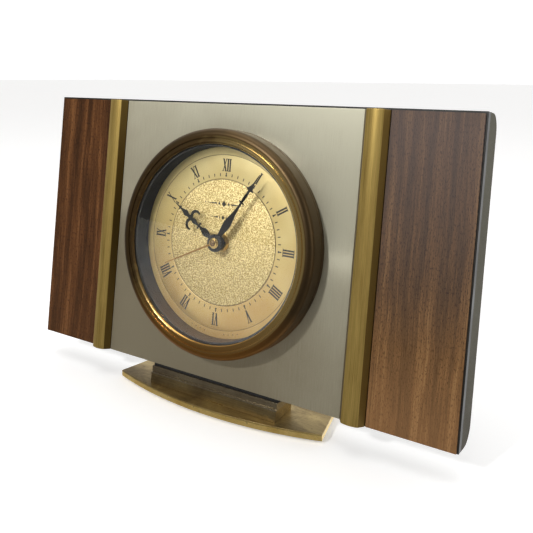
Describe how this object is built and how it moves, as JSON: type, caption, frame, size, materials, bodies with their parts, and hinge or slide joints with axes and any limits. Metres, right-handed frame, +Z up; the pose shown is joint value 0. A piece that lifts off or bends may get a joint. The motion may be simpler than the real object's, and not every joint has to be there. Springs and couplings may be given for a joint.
{
  "type": "mantel clock",
  "caption": "Slim rectangular mantel clock leaning back on a bowed brass foot, with a round glazed gold dial, brass strips, wood veneer ends and a battery quartz movement.",
  "frame": {"origin": "on the resting surface, under the middle of the foot plate's width and depth", "axes": "+X to the right of a person facing the dial, +Y to the rear, +Z up"},
  "size_m": [0.224, 0.0525, 0.1388],
  "materials": {
    "board_black": "black satin lacquer",
    "walnut_veneer": "oiled vertical grain",
    "champagne_sheet": "fine vertical brushing",
    "strip_brass": "brushed, lightly aged",
    "bezel_brass": "aged, dark on the barrel",
    "foot_brass": "polished with tarnish",
    "bronze": "dark bronze",
    "case_grey": "olive grey satin",
    "pine": "raw",
    "bright_steel": "zinc plated",
    "pan_steel": "plain",
    "black_plastic": "moulded",
    "cream_plastic": "moulded",
    "black_rubber": "soft",
    "lens": "clear",
    "dial_gold": "gold lacquer",
    "hand_black": "black enamel",
    "hand_gold": "gilt",
    "wheel_brass": "stamped",
    "coil_copper": "enamelled wire",
    "board_laminate": "phenolic laminate",
    "magnet_grey": "sintered",
    "cell_jacket": "printed sleeve",
    "felt_green": "felt"
  },
  "bodies": {
    "case": {"front_board": "board_black", "veneer_left": "walnut_veneer", "veneer_right": "walnut_veneer", "centre_panel": "champagne_sheet", "strip_left": "strip_brass", "strip_right": "strip_brass", "rear_case": "case_grey", "corner_blocks": "pine", "base_block": "pine", "case_screws": "bright_steel", "dial_pan": "pan_steel", "pan_screws": "bright_steel", "spacer_ring": "black_plastic", "glass_gasket": "black_rubber", "glass": "lens", "bezel": "bezel_brass", "dial": "dial_gold", "dial_washer": "wheel_brass", "dial_nut": "wheel_brass", "movement_front": "black_plastic", "movement_back": "black_plastic", "movement_screws": "bright_steel", "stator": "bright_steel", "coil_core": "bright_steel", "coil_bobbin": "cream_plastic", "coil_winding": "coil_copper", "circuit_board": "board_laminate", "chip": "black_plastic", "quartz_crystal": "bright_steel", "contact_plus": "bright_steel", "contact_minus": "bright_steel", "foot_plate": "foot_brass", "riser_bar": "bronze", "riser_packing": "black_rubber", "foot_screws": "bright_steel", "foot_felt": "felt_green"},
    "minute_group": {"minute_hand": "hand_black", "minute_collet": "wheel_brass", "minute_pipe": "wheel_brass"},
    "centre_group": {"centre_wheel": "wheel_brass"},
    "hour_group": {"hour_hand": "hand_black", "hour_wheel": "wheel_brass"},
    "second_group": {"second_hand": "hand_gold", "second_cap": "bronze", "seconds_wheel": "wheel_brass"},
    "third_group": {"third_wheel": "wheel_brass"},
    "intermediate_group": {"intermediate_wheel": "cream_plastic"},
    "rotor_group": {"rotor_pinion": "cream_plastic", "rotor_magnet": "magnet_grey"},
    "setting_group": {"motion_wheel": "cream_plastic", "set_knob": "black_plastic"},
    "cell": {"battery": "cell_jacket"}
  },
  "joints": [
    {"name": "minute_spin", "type": "hinge", "parent": "case", "child": "minute_group", "pos_m": [0, -0.00846, 0.07598], "axis": [0, 0.9903, -0.1392], "continuous": true},
    {"name": "hour_spin", "type": "hinge", "parent": "case", "child": "hour_group", "pos_m": [0, -0.00846, 0.07598], "axis": [0, 0.9903, -0.1392], "continuous": true},
    {"name": "second_spin", "type": "hinge", "parent": "case", "child": "second_group", "pos_m": [0, -0.00846, 0.07598], "axis": [0, 0.9903, -0.1392], "continuous": true},
    {"name": "centre_spin", "type": "hinge", "parent": "case", "child": "centre_group", "pos_m": [0, -0.00846, 0.07598], "axis": [0, 0.9903, -0.1392], "continuous": true},
    {"name": "third_spin", "type": "hinge", "parent": "case", "child": "third_group", "pos_m": [-0.00799, -0.00887, 0.0731], "axis": [0, 0.9903, -0.1392], "continuous": true},
    {"name": "intermediate_spin", "type": "hinge", "parent": "case", "child": "intermediate_group", "pos_m": [0.00438, -0.00741, 0.08349], "axis": [0, 0.9903, -0.1392], "continuous": true},
    {"name": "rotor_spin", "type": "hinge", "parent": "case", "child": "rotor_group", "pos_m": [0.00737, -0.00668, 0.08863], "axis": [0, 0.9903, -0.1392], "continuous": true},
    {"name": "setting_spin", "type": "hinge", "parent": "case", "child": "setting_group", "pos_m": [0.00831, -0.00913, 0.07123], "axis": [0, 0.9903, -0.1392], "continuous": true},
    {"name": "cell_slide", "type": "slide", "parent": "case", "child": "cell", "axis": [0, 0.9903, -0.1392], "range_m": [0, 0.03]}
  ],
  "couplings": [
    {"joint": "hour_spin", "follows": "minute_spin", "ratio": 0.083333},
    {"joint": "setting_spin", "follows": "minute_spin", "ratio": -0.33333},
    {"joint": "centre_spin", "follows": "second_spin", "ratio": 0.016667},
    {"joint": "third_spin", "follows": "second_spin", "ratio": -0.13333},
    {"joint": "intermediate_spin", "follows": "second_spin", "ratio": -6},
    {"joint": "rotor_spin", "follows": "second_spin", "ratio": 30}
  ]
}
